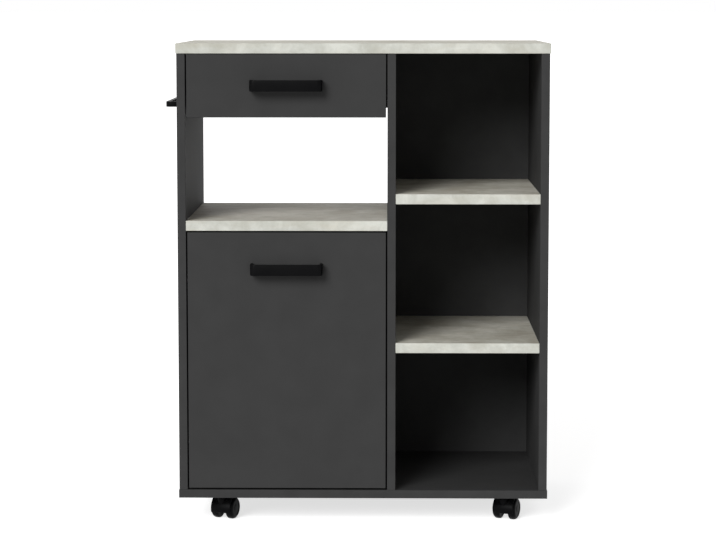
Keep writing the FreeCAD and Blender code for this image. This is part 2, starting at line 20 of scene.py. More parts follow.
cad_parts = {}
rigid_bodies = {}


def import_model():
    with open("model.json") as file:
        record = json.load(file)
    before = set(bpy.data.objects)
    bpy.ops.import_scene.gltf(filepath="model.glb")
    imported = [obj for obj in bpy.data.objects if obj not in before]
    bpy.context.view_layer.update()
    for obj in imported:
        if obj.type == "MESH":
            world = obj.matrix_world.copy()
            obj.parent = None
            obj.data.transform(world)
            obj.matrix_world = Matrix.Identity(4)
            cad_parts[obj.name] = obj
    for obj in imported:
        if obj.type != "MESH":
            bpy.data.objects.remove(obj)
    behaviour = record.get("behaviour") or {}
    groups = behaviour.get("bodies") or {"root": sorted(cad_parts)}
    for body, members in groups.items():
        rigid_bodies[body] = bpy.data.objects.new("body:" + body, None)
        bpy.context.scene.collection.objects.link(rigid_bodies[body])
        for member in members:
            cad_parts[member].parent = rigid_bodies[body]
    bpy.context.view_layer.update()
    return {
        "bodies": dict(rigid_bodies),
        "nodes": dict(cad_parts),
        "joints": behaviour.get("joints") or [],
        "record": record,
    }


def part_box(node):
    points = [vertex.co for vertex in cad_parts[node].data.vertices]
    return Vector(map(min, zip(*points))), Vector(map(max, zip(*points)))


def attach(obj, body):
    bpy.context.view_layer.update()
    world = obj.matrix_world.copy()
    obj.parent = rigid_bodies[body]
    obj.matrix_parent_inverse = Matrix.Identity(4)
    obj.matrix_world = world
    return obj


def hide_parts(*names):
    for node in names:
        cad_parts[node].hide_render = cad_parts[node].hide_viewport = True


LOG = logging.getLogger("serving_cart")
MM = 0.001
WELD = 1e-6
ON_PLANE = 1e-5
# A face looks some way when its normal's share of that way is more than this.
FACING = 0.5
# Turns between two faces: flat below the first, curved below the second, a hard edge above the others.
FLAT_ANGLE = math.radians(0.6)
CURVED_ANGLE = math.radians(20)
STAMPED_ANGLE = math.radians(35)
TURNED_ANGLE = math.radians(40)
SHARP_ANGLE = math.radians(50)
WHITE = (1.0, 1.0, 1.0, 1.0)
X_AXIS = Vector((1, 0, 0))
Y_AXIS = Vector((0, 1, 0))
Z_AXIS = Vector((0, 0, 1))
CORNERS = ("front_left", "front_right", "rear_left", "rear_right")

BMesh = bmesh.types.BMesh
# Points in a plane, in millimetres.
Outline = list[tuple[float, float]]
# Points on surfaces, each with the way that a head set on it faces.
Places = list[tuple[Vector, Vector]]


def mm(*values: float) -> Vector:
    """Three millimetre values as a vector in metres."""
    return Vector(values) * MM


def linear(code: str) -> tuple[float, float, float, float]:
    """Turns an sRGB hex colour into linear RGBA.

    Args:
        code: six hex digits after a hash sign.

    Returns:
        The linear colour, opaque.
    """
    channels = [int(code[i:i + 2], 16) / 255 for i in (1, 3, 5)]
    red, green, blue = [c / 12.92 if c <= 0.04045 else ((c + 0.055) / 1.055) ** 2.4 for c in channels]
    return red, green, blue, 1.0


def add_node(tree: bpy.types.NodeTree, kind: str, settings: dict | None = None,
             inputs: dict | None = None) -> bpy.types.Node:
    """Adds one node with its settings, values and links.

    Args:
        tree: the node tree that gets the node.
        kind: the node's type name.
        settings: attribute values of the node.
        inputs: for each input, a plain value or the output socket that feeds it.

    Returns:
        The new node.
    """
    node = tree.nodes.new(kind)
    for name, value in (settings or {}).items():
        setattr(node, name, value)
    for key, value in (inputs or {}).items():
        if isinstance(value, bpy.types.NodeSocket):
            tree.links.new(value, node.inputs[key])
        else:
            node.inputs[key].default_value = value
    return node


def new_tree(name: str) -> tuple[bpy.types.Material, bpy.types.NodeTree, bpy.types.NodeSocket]:
    """Starts an empty material.

    Args:
        name: the material's name.

    Returns:
        The material, its node tree and the socket that gives Object coordinates.
    """
    material = bpy.data.materials.new(name)
    material.use_nodes = True
    tree = material.node_tree
    tree.nodes.clear()
    return material, tree, add_node(tree, "ShaderNodeTexCoord").outputs["Object"]


def close_tree(tree: bpy.types.NodeTree, inputs: dict) -> None:
    """Ends a material in one Principled shader with the given inputs."""
    shader = add_node(tree, "ShaderNodeBsdfPrincipled", inputs=inputs)
    add_node(tree, "ShaderNodeOutputMaterial", inputs={"Surface": shader.outputs[0]})


@dataclass(frozen=True)
class Skin:
    """A board, coat or moulding with soft clouds of tone and a fine grain.

    Cloud and grain are the sizes of the real surface's marks, drawn no finer than a render can show.
    """

    name: str
    low: str
    high: str
    cloud: float
    grain: float
    roughness: tuple[float, float]
    bump: float
    metallic: float = 0.0
    stretch: tuple[float, float, float] = (1.0, 1.0, 1.0)
    specular: float = 0.5
    grain_share: float = 0.35
    tone_span: tuple[float, float] = (0.5, 0.85)
    gloss_span: tuple[float, float] = (0.3, 0.7)
    relief: float = 0.25

    def build(self) -> bpy.types.Material:
        """Makes the material: clouds drive the colour, the grain drives gloss and bump.

        Returns:
            The material.
        """
        material, tree, coords = new_tree(self.name)
        turned = add_node(tree, "ShaderNodeMapping", inputs={"Vector": coords, "Scale": self.stretch})
        cloud = add_node(tree, "ShaderNodeTexNoise", inputs={
            "Vector": turned.outputs[0], "Scale": 1 / (self.cloud * MM), "Detail": 4.0, "Roughness": 0.55,
        })
        grain = add_node(tree, "ShaderNodeTexNoise", inputs={
            "Vector": turned.outputs[0], "Scale": 1 / (self.grain * MM), "Detail": 3.0, "Roughness": 0.6,
        })
        tone = add_node(tree, "ShaderNodeMath", {"operation": "MULTIPLY_ADD"}, {
            0: grain.outputs["Fac"], 1: self.grain_share, 2: cloud.outputs["Fac"],
        })
        spread = add_node(tree, "ShaderNodeMapRange", inputs={
            "Value": tone.outputs[0], "From Min": self.tone_span[0], "From Max": self.tone_span[1],
        })
        colour = add_node(tree, "ShaderNodeMix", {"data_type": "RGBA"}, {
            0: spread.outputs[0], 6: linear(self.low), 7: linear(self.high),
        })
        gloss = add_node(tree, "ShaderNodeMapRange", inputs={
            "Value": grain.outputs["Fac"], "From Min": self.gloss_span[0], "From Max": self.gloss_span[1],
            "To Min": self.roughness[0], "To Max": self.roughness[1],
        })
        bump = add_node(tree, "ShaderNodeBump", inputs={
            "Strength": self.bump, "Distance": self.grain * MM * self.relief, "Height": grain.outputs["Fac"],
        })
        close_tree(tree, {
            "Base Color": colour.outputs[2], "Roughness": gloss.outputs[0], "Normal": bump.outputs[0],
            "Metallic": self.metallic, "Specular IOR Level": self.specular,
        })
        return material


@dataclass(frozen=True)
class ConcretePrint:
    """Decor paper printed as poured concrete, pressed matt on a board.

    Broad pale clouds, trowel streaks along the board and fine grey specks. The sizes are those of the
    print's own marks.
    """

    name: str
    shade: str
    body: str
    light: str
    stain: str
    cloud: float = 130.0
    mottle: float = 34.0
    streak: float = 70.0
    speck: float = 3.0
    streak_squeeze: float = 3.2
    mottle_share: float = 0.75
    shade_stop: float = 0.66
    body_stop: float = 0.87
    vein_span: tuple[float, float] = (0.44, 0.78)
    vein_strength: float = 0.45
    speck_span: tuple[float, float] = (0.6, 0.75)
    speck_strength: float = 0.22
    gloss_span: tuple[float, float] = (0.3, 0.7)
    roughness: tuple[float, float] = (0.5, 0.64)
    bump: float = 0.12
    relief: float = 0.1
    specular: float = 0.15

    def build(self) -> bpy.types.Material:
        """Makes the material.

        Returns:
            The material.
        """
        material, tree, coords = new_tree(self.name)
        squeeze = (1.0, self.streak_squeeze, self.streak_squeeze)
        along = add_node(tree, "ShaderNodeMapping", inputs={"Vector": coords, "Scale": squeeze})
        cloud = add_node(tree, "ShaderNodeTexNoise", inputs={
            "Vector": coords, "Scale": 1 / (self.cloud * MM), "Detail": 6.0, "Roughness": 0.6,
            "Distortion": 0.6,
        })
        mottle = add_node(tree, "ShaderNodeTexNoise", inputs={
            "Vector": coords, "Scale": 1 / (self.mottle * MM), "Detail": 8.0, "Roughness": 0.68,
            "Distortion": 0.5,
        })
        streak = add_node(tree, "ShaderNodeTexNoise", inputs={
            "Vector": along.outputs[0], "Scale": 1 / (self.streak * MM), "Detail": 5.0, "Roughness": 0.6,
            "Distortion": 0.4,
        })
        speck = add_node(tree, "ShaderNodeTexNoise", inputs={
            "Vector": coords, "Scale": 1 / (self.speck * MM), "Detail": 2.0,
        })
        tone = add_node(tree, "ShaderNodeMath", {"operation": "MULTIPLY_ADD"}, {
            0: mottle.outputs["Fac"], 1: self.mottle_share, 2: cloud.outputs["Fac"],
        })
        ground = add_node(tree, "ShaderNodeValToRGB", inputs={0: tone.outputs[0]})
        ramp = ground.color_ramp
        ramp.elements[0].position = self.shade_stop
        ramp.elements[0].color = linear(self.shade)
        ramp.elements[1].color = linear(self.light)
        ramp.elements.new(self.body_stop).color = linear(self.body)
        veins = add_node(tree, "ShaderNodeMapRange", inputs={
            "Value": streak.outputs["Fac"], "From Min": self.vein_span[0], "From Max": self.vein_span[1],
            "To Min": 0.0, "To Max": self.vein_strength,
        })
        stained = add_node(tree, "ShaderNodeMix", {"data_type": "RGBA"}, {
            0: veins.outputs[0], 6: ground.outputs[0], 7: linear(self.stain),
        })
        dots = add_node(tree, "ShaderNodeMapRange", inputs={
            "Value": speck.outputs["Fac"], "From Min": self.speck_span[0], "From Max": self.speck_span[1],
            "To Min": 0.0, "To Max": self.speck_strength,
        })
        colour = add_node(tree, "ShaderNodeMix", {"data_type": "RGBA"}, {
            0: dots.outputs[0], 6: stained.outputs[2], 7: linear(self.shade),
        })
        gloss = add_node(tree, "ShaderNodeMapRange", inputs={
            "Value": mottle.outputs["Fac"], "From Min": self.gloss_span[0], "From Max": self.gloss_span[1],
            "To Min": self.roughness[0], "To Max": self.roughness[1],
        })
        bump = add_node(tree, "ShaderNodeBump", inputs={
            "Strength": self.bump, "Distance": self.relief * MM, "Height": tone.outputs[0],
        })
        close_tree(tree, {
            "Base Color": colour.outputs[2], "Roughness": gloss.outputs[0], "Normal": bump.outputs[0],
            "Specular IOR Level": self.specular,
        })
        return material


Finish = Skin | ConcretePrint


@cache
def material_of(finish: Finish) -> bpy.types.Material:
    """The material of a finish, made once."""
    return finish.build()


# Low-pressure melamine on particle board: matt, a faint pearl grain, almost no tone change.
DARK_MELAMINE = Skin(
    "melamine dark grey", "#373737", "#3a3a3a", cloud=60.0, grain=1.4, roughness=(0.6, 0.72), bump=0.1,
    specular=0.05,
)
# ABS edging, extruded: a little smoother than the board's face.
DARK_EDGING = Skin(
    "ABS edging dark grey", "#373737", "#3b3b3b", cloud=40.0, grain=1.0, roughness=(0.54, 0.64), bump=0.05,
    specular=0.05,
)
# Raw chipboard in a drilled pocket: coarse brown chips.
CHIPBOARD = Skin("raw chipboard", "#8a6b45", "#b8966a", cloud=4.0, grain=1.5, roughness=(0.8, 0.95), bump=0.6)
# Hardboard with a rolled-on dark paint: matt and a little uneven.
PAINTED_HARDBOARD = Skin(
    "hardboard painted", "#393939", "#3f3f3f", cloud=70.0, grain=1.2, roughness=(0.62, 0.75), bump=0.12,
    specular=0.05,
)
# Hardboard as pressed: bare brown fibre with faint clouds.
BARE_HARDBOARD = Skin(
    "hardboard bare", "#75593e", "#816649", cloud=40.0, grain=0.9, roughness=(0.75, 0.9), bump=0.35,
    specular=0.2,
)
# Decor paper under melamine: poured-concrete clouds, warm grey on the faces. That warmer, slightly darker
# grey is partly painted shade: the warm, dimmer tone that the tops take under the lighting is put into their
# colour.
CONCRETE = ConcretePrint(
    "melamine concrete print", "#aba699", "#c1bfb4", "#cfccc2", "#aba08c", mottle=28.0, streak=48.0,
)
# The same print on the ABS edging, a little cooler and paler. Edging and face paper can differ, but the step
# between them is also painted light: lit front edges against tops in painted warm shade.
CONCRETE_EDGING = ConcretePrint("ABS edging concrete print", "#adada3", "#c0c1b9", "#cdcec6", "#b3ad9d")
# Powder coat on steel: matt black with a fine orange peel.
POWDER_COAT = Skin(
    "powder coat matt black", "#020203", "#050506", cloud=30.0, grain=0.9, roughness=(0.32, 0.44), bump=0.15,
    specular=0.06,
)
# Epoxy dip on rolled steel: dark grey, half gloss.
EPOXY_COAT = Skin(
    "epoxy coated steel", "#3a3b3d", "#45464a", cloud=25.0, grain=0.8, roughness=(0.32, 0.45), bump=0.12,
)
# Zinc plate on pressed steel: bright, with a rolled grain and passivation clouds.
ZINC = Skin(
    "zinc plated steel", "#b4b6b8", "#d4d5d4", cloud=9.0, grain=1.5, roughness=(0.3, 0.46), bump=0.02,
    metallic=1.0, stretch=(1.0, 0.25, 1.0),
)
# Acetal, moulded: smooth milky white.
ACETAL = Skin("acetal white", "#c9c8c2", "#d6d5cf", cloud=12.0, grain=0.5, roughness=(0.32, 0.42), bump=0.06)
# Nylon, moulded in a spark-eroded tool: deep black with a fine matt texture.
NYLON = Skin(
    "nylon black", "#020203", "#040405", cloud=10.0, grain=1.0, roughness=(0.38, 0.5), bump=0.06,
    specular=0.05,
)
# Nylon wheel, moulded in a polished tool: the same black, a little glossier.
TREAD = Skin(
    "nylon tread black", "#020203", "#050506", cloud=8.0, grain=1.2, roughness=(0.34, 0.46), bump=0.06,
    specular=0.05,
)


class Workshop:
    """Keeps the frame and turns bmeshes into pieces of the cart."""

    def __init__(self, frame: dict) -> None:
        """Takes the loaded frame.
        """
        self.nodes = frame["nodes"]
        self.joints = {joint["name"]: joint for joint in frame["joints"]}
        self._slots = {part["node"]: part["material_slot"] for part in frame["record"]["subparts"]}

    def deliver(self, name: str, bm: BMesh, skins: Sequence[Finish], body: str,
                stands_for: str | None = None, slot: str | None = None) -> None:
        """Makes a bmesh a piece that rides on a body.

        Args:
            name: the piece's name.
            bm: the finished mesh, in place. It is freed.
            skins: finishes in the order of the faces' material indices.
            body: the body that the piece rides on.
            stands_for: the frame node that the piece replaces, if there is one.
            slot: not used.
        """
        mesh = bpy.data.meshes.new(name)
        bm.to_mesh(mesh)
        bm.free()
        for skin in skins:
            mesh.materials.append(material_of(skin))
        piece = bpy.data.objects.new(name, mesh)
        bpy.context.scene.collection.objects.link(piece)
        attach(piece, body)
        if stands_for:
            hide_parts(stands_for)
        LOG.info("%s: %d faces on %s", name, len(mesh.polygons), body)

    def copy_of(self, node: str) -> BMesh:
        """Copies a frame node's mesh, its doubles merged and its flat faces joined.

        Args:
            node: the node's name.

        Returns:
            The copy.
        """
        bm = bmesh.new()
        bm.from_mesh(self.nodes[node].data)
        bmesh.ops.remove_doubles(bm, verts=bm.verts, dist=WELD)
        bmesh.ops.dissolve_limit(bm, angle_limit=FLAT_ANGLE, verts=bm.verts, edges=bm.edges)
        return bm

    def dress(self, node: str, body: str, skin: Finish, radius: float, segments: int = 2) -> None:
        """Makes a piece of a frame node's own shape, its sharp edges rounded.

        Args:
            node: the frame node, which the piece replaces.
            body: the body that the piece rides on.
            skin: its finish.
            radius: how far the rounding reaches, in millimetres.
            segments: faces across the rounding.
        """
        bm = self.copy_of(node)
        soften(bm, radius, segments)
        self.deliver(node + "_dressed", bm, [skin], body, node)


def shade_round(bm: BMesh, limit: float) -> None:
    """Shades a mesh smooth, with hard edges where its faces turn sharply.

    Args:
        bm: the mesh.
        limit: the angle between two faces from which their edge is hard, in radians.
    """
    for face in bm.faces:
        face.smooth = True
    for edge in bm.edges:
        edge.smooth = edge.calc_face_angle(0) < limit


def soften(bm: BMesh, radius: float, segments: int = 2,
           edges: Iterable[bmesh.types.BMEdge] | None = None) -> None:
    """Rounds edges, and shades curved walls and the new rounds smooth.

    Args:
        bm: the mesh.
        radius: how far the rounding reaches, in millimetres.
        segments: faces across the rounding.
        edges: the edges to round, or every sharp one if left out.
    """
    for face in bm.faces:
        face.smooth = any(FLAT_ANGLE < edge.calc_face_angle(0) < CURVED_ANGLE for edge in face.edges)
    if edges is None:
        edges = [edge for edge in bm.edges if edge.calc_face_angle(0) > SHARP_ANGLE]
    made = bmesh.ops.bevel(
        bm, geom=list(edges), offset=radius * MM, offset_type="OFFSET", segments=segments, profile=0.5,
        affect="EDGES", clamp_overlap=True, material=-1,
    )
    for face in made["faces"]:
        face.smooth = True


def uprights(bm: BMesh) -> list[bmesh.types.BMEdge]:
    """The edges of a block that stand upright."""
    return [edge for edge in bm.edges if abs((edge.verts[0].co - edge.verts[1].co).z) > MM]


def block(low: Vector, high: Vector) -> BMesh:
    """Makes a plain block between two corners.

    Args:
        low: its lowest corner, in metres.
        high: its highest corner, in metres.

    Returns:
        The block.
    """
    bm = bmesh.new()
    bmesh.ops.create_cube(bm, size=1.0)
    bmesh.ops.scale(bm, verts=bm.verts, vec=high - low)
    bmesh.ops.translate(bm, verts=bm.verts, vec=(low + high) / 2)
    return bm


def lathe(profile: Outline, steps: int) -> BMesh:
    """Turns a shape about the Z axis.

    Args:
        profile: (radius, height) pairs in millimetres, from one end of the wall to the other.
        steps: faces round the axis.

    Returns:
        The closed mesh, its normals outwards.
    """
    bm = bmesh.new()
    verts = [bm.verts.new(mm(radius, 0, height)) for radius, height in profile]
    edges = [bm.edges.new(pair) for pair in zip(verts, verts[1:])]
    bmesh.ops.spin(
        bm, geom=verts + edges, cent=(0, 0, 0), axis=(0, 0, 1), dvec=(0, 0, 0), angle=math.tau, steps=steps,
        use_merge=True, use_normal_flip=False, use_duplicate=False,
    )
    bmesh.ops.remove_doubles(bm, verts=bm.verts, dist=WELD)
    bmesh.ops.recalc_face_normals(bm, faces=bm.faces)
    return bm


def bend(centre: tuple[float, float], radius: float, start: float, end: float, steps: int) -> Outline:
    """Lays points on an arc.

    Args:
        centre: the arc's centre.
        radius: its radius.
        start: where it starts, in degrees from the first axis towards the second.
        end: where it ends.
        steps: how many stretches it has.

    Returns:
        The points, both ends among them.
    """
    angles = [math.radians(start + (end - start) * i / steps) for i in range(steps + 1)]
    return [(centre[0] + radius * math.cos(a), centre[1] + radius * math.sin(a)) for a in angles]


def prism(outline: Outline, half: float) -> BMesh:
    """Makes a straight bar along X, middled on the YZ plane.

    Args:
        outline: its outline in the YZ plane, in millimetres.
        half: half its length, in millimetres.

    Returns:
        The closed mesh, its normals outwards.
    """
    bm = bmesh.new()
    face = bm.faces.new([bm.verts.new(mm(-half, y, z)) for y, z in outline])
    made = bmesh.ops.extrude_face_region(bm, geom=[face])
    moved = [item for item in made["geom"] if isinstance(item, bmesh.types.BMVert)]
    bmesh.ops.translate(bm, verts=moved, vec=mm(2 * half, 0, 0))
    bmesh.ops.recalc_face_normals(bm, faces=bm.faces)
    return bm


def merged(meshes: Iterable[BMesh]) -> BMesh:
    """Puts several bmeshes in one.

    Args:
        meshes: the parts, which are freed.

    Returns:
        The whole.
    """
    whole = bmesh.new()
    for bm in meshes:
        part = bpy.data.meshes.new("part")
        bm.to_mesh(part)
        bm.free()
        whole.from_mesh(part)
        bpy.data.meshes.remove(part)
    return whole


def placed(bm: BMesh, matrix: Matrix) -> BMesh:
    """The same bmesh, moved and turned."""
    bmesh.ops.transform(bm, matrix=matrix, verts=bm.verts)
    return bm


def facing(place: Vector, normal: Vector) -> Matrix:
    """The matrix that stands the Z axis of a small part along a normal at a place."""
    return Matrix.Translation(place) @ normal.to_track_quat("Z", "Y").to_matrix().to_4x4()


def carved(body: BMesh, cutter: BMesh) -> BMesh:
    """Takes a cutter's shape out of a body.

    Args:
        body: the mesh to cut.
        cutter: the closed mesh that is taken out. Both are freed.

    Returns:
        The cut mesh.
    """
    objects = []
    for name, bm in (("carved_body", body), ("carved_cutter", cutter)):
        mesh = bpy.data.meshes.new(name)
        bm.to_mesh(mesh)
        bm.free()
        objects.append(bpy.data.objects.new(name, mesh))
        bpy.context.scene.collection.objects.link(objects[-1])
    cut = objects[0].modifiers.new("cut", "BOOLEAN")
    cut.operation = "DIFFERENCE"
    cut.solver = "EXACT"
    cut.object = objects[1]
    seen = objects[0].evaluated_get(bpy.context.evaluated_depsgraph_get())
    whole = bmesh.new()
    whole.from_mesh(seen.to_mesh())
    seen.to_mesh_clear()
    for item in objects:
        mesh = item.data
        bpy.data.objects.remove(item)
        bpy.data.meshes.remove(mesh)
    return whole


def ends(low: float, high: float, inset: float) -> tuple[float, float]:
    """The two coordinates that stand an inset in millimetres inside a stretch in metres."""
    return low + inset * MM, high - inset * MM


def at_shares(low: float, high: float, shares: Iterable[float]) -> list[float]:
    """The coordinates at some shares of a stretch."""
    return [low + (high - low) * share for share in shares]


def crossings(xs: Iterable[float], ys: Sequence[float], zs: Sequence[float], normal: Vector) -> Places:
    """Places at every crossing of some coordinates in metres, all facing one way."""
    return [(Vector((x, y, z)), normal) for x in xs for y in ys for z in zs]


class Fastener(Enum):
    """The small fasteners: head radius, head height, recess span and recess width, in millimetres."""

    PAN_SCREW = (4.0, 2.0, 4.6, 0.9)
    FLAT_SCREW = (3.4, 1.1, 3.8, 0.8)
    BASE_SCREW = (5.0, 0.5, 5.0, 1.3)
    CAM_LOCK = (7.5, 0.5, 9.0, 1.8)


@dataclass
class FastenerBox:
    """Makes each kind of fastener once and sets copies of it where they are needed."""

    shop: Workshop
    steps: int = 24
    crown_share: float = 0.55
    crown_rise: float = 0.05
    crown_steps: int = 4
    root: float = 0.4
    root_inset: float = 0.1
    recess_share: float = 0.7
    recess_deepest: float = 1.2
    recess_over: float = 1.0
    templates: dict[Fastener, bpy.types.Mesh] = field(default_factory=dict)

    def template(self, kind: Fastener) -> bpy.types.Mesh:
        """Makes the head of one kind, standing on the XY plane, with its cross recess cut.

        Args:
            kind: which fastener.

        Returns:
            Its mesh, made once.
        """
        if kind in self.templates:
            return self.templates[kind]
        radius, height, span, width = kind.value
        crown = min(height, radius) * self.crown_share
        profile = [(0.0, -self.root), (radius - self.root_inset, -self.root), (radius, 0.0)]
        profile.append((radius, height - crown))
        profile += bend((radius - crown, height - crown), crown, 0, 90, self.crown_steps)[1:]
        profile.append((0.0, height + self.crown_rise))
        low = height - min(height * self.recess_share, self.recess_deepest)
        high = height + self.recess_over
        head = lathe(profile, self.steps)
        for x, y in ((span / 2, width / 2), (width / 2, span / 2)):
            head = carved(head, block(mm(-x, -y, low), mm(x, y, high)))
        shade_round(head, STAMPED_ANGLE)
        mesh = bpy.data.meshes.new(kind.name.lower())
        head.to_mesh(mesh)
        head.free()
        self.templates[kind] = mesh
        return mesh

    def set_out(self, name: str, kind: Fastener, places: Places, body: str) -> None:
        """Sets fasteners into one piece.

        Args:
            name: the piece's name.
            kind: which fastener.
            places: for each one, the point on the surface and the way that its head faces.
            body: the body they ride on.
        """
        heads = []
        for place, normal in places:
            head = bmesh.new()
            head.from_mesh(self.template(kind))
            heads.append(placed(head, facing(place, normal)))
        self.shop.deliver(name, merged(heads), [ZINC], body, slot="zinc_steel")


@dataclass
class Boards:
    """The carcass boards and the drawer's boards: faces, edging and softened edges."""

    shop: Workshop
    edge_round: float = 0.7
    edging: float = 0.8
    sheet_round: float = 0.3
    square_on: float = 0.999
    dark: tuple[str, ...] = (
        "left_side_panel", "centre_divider", "right_side_panel", "bottom_panel", "rear_rail",
    )
    concrete: tuple[str, ...] = ("worktop", "niche_shelf", "upper_shelf", "lower_shelf")
    drawer: tuple[str, ...] = ("drawer_front", "drawer_side_left", "drawer_side_right", "drawer_back")

    def board(self, node: str, face_skin: Finish, edge_skin: Finish, body: str) -> None:
        """Makes one board: two faces, a strip of edging round them and soft edges.

        Args:
            node: the frame node that it replaces.
            face_skin: the finish of its two wide faces.
            edge_skin: the finish of its edging.
            body: the body it rides on.
        """
        low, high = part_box(node)
        size = high - low
        thin = min(range(3), key=lambda axis: size[axis])
        bm = block(low, high)
        soften(bm, self.edge_round)
        wide = [face for face in bm.faces if abs(face.normal[thin]) > self.square_on]
        skins = [face_skin, edge_skin]
        for face in bm.faces:
            face.material_index = skins.index(face_skin if face in wide else edge_skin)
        strips = bmesh.ops.inset_individual(bm, faces=wide, thickness=self.edging * MM, depth=0.0)
        for face in strips["faces"]:
            face.material_index = skins.index(edge_skin)
        self.shop.deliver(node + "_dressed", bm, skins, body, node)

    def sheet(self, node: str, body: str, bare_side: Vector) -> None:
        """Makes a thin hardboard sheet, painted on the side that is seen and bare on the other.

        Args:
            node: the frame node that it replaces.
            body: the body it rides on.
            bare_side: the way that its bare side faces.
        """
        bm = block(*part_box(node))
        soften(bm, self.sheet_round, 1)
        skins = [PAINTED_HARDBOARD, BARE_HARDBOARD]
        for face in bm.faces:
            bare = face.normal.dot(bare_side) > FACING
            face.material_index = skins.index(BARE_HARDBOARD if bare else PAINTED_HARDBOARD)
        self.shop.deliver(node + "_dressed", bm, skins, body, node)

    def build(self) -> None:
        """Makes every board."""
        for node in self.dark:
            self.board(node, DARK_MELAMINE, DARK_EDGING, "carcass")
        for node in self.concrete:
            # The faces' print carries painted warm shade; the edging's print is paler and cooler.
            self.board(node, CONCRETE, CONCRETE_EDGING, "carcass")
        for node in self.drawer:
            self.board(node, DARK_MELAMINE, DARK_EDGING, "drawer")
        self.sheet("back_panel_left", "carcass", Y_AXIS)
        self.sheet("back_panel_right", "carcass", Y_AXIS)
        self.sheet("drawer_bottom", "drawer", -Z_AXIS)


@dataclass
class Door:
    """The door with its cup pockets, and the hinges that carry it."""

    shop: Workshop
    edge_round: float = 0.7
    pressed_round: float = 0.3
    plate_round: float = 0.6
    pin_round: float = 0.15
    pocket_reach: float = 0.49
    pocket_skin: float = 1.0
    square_on: float = 0.9

    def panel(self) -> None:
        """Makes the door board: outer edges softened, pockets left as raw chipboard."""
        low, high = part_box("door_panel")
        bm = self.shop.copy_of("door_panel")
        rim = [
            edge for edge in bm.edges
            if edge.calc_face_angle(0) > SHARP_ANGLE and all(self.on_rim(v.co, low, high) for v in edge.verts)
        ]
        soften(bm, self.edge_round, edges=rim)
        middle = (low + high) / 2
        size = high - low
        front, back = ends(low.y, high.y, self.pocket_skin)
        skins = [DARK_MELAMINE, DARK_EDGING, CHIPBOARD]
        for face in bm.faces:
            centre = face.calc_center_median()
            off = centre - middle
            inside = max(abs(off.x) / size.x, abs(off.z) / size.z) < self.pocket_reach
            skin = DARK_MELAMINE if abs(face.normal.y) > self.square_on else DARK_EDGING
            if inside and front < centre.y < back:
                skin = CHIPBOARD
            face.material_index = skins.index(skin)
        self.shop.deliver("door_panel_dressed", bm, skins, "door", "door_panel")

    @staticmethod
    def on_rim(point: Vector, low: Vector, high: Vector) -> bool:
        """Whether a point lies on at least two of the board's outer planes."""
        gaps = [min(abs(point[axis] - low[axis]), abs(point[axis] - high[axis])) for axis in range(3)]
        return sum(gap < ON_PLANE for gap in gaps) >= 2

    def build(self) -> None:
        """Makes the door and its hinges, whose pressed and turned edges are broken."""
        self.panel()
        self.shop.dress("hinge_cups", "door", ZINC, self.pressed_round)
        self.shop.dress("hinge_arms", "carcass", ZINC, self.pressed_round)
        self.shop.dress("hinge_plates", "carcass", ZINC, self.plate_round)
        self.shop.dress("hinge_pins", "door", ZINC, self.pin_round)


@dataclass
class Handles:
    """The two bow handles and the towel rail, bent from flat bar."""

    shop: Workshop
    edge_round: float = 0.9
    edge_steps: int = 3

    def build(self) -> None:
        """Makes the three bows."""
        for node, body in (("drawer_handle", "drawer"), ("door_handle", "door"), ("towel_rail", "carcass")):
            self.shop.dress(node, body, POWDER_COAT, self.edge_round, self.edge_steps)


@dataclass
class Runners:
    """The roller runners under the drawer."""

    shop: Workshop
    sheet_round: float = 0.3
    roller_round: float = 0.6
    roller_steps: int = 3

    def build(self) -> None:
        """Makes the rolled sections and their rollers."""
        for side in ("left", "right"):
            self.shop.dress("cabinet_runner_" + side, "carcass", EPOXY_COAT, self.sheet_round)
            self.shop.dress("drawer_runner_" + side, "drawer", EPOXY_COAT, self.sheet_round)
        for node in ("front_rollers", "rear_rollers"):
            self.shop.dress(node, node, ACETAL, self.roller_round, self.roller_steps)


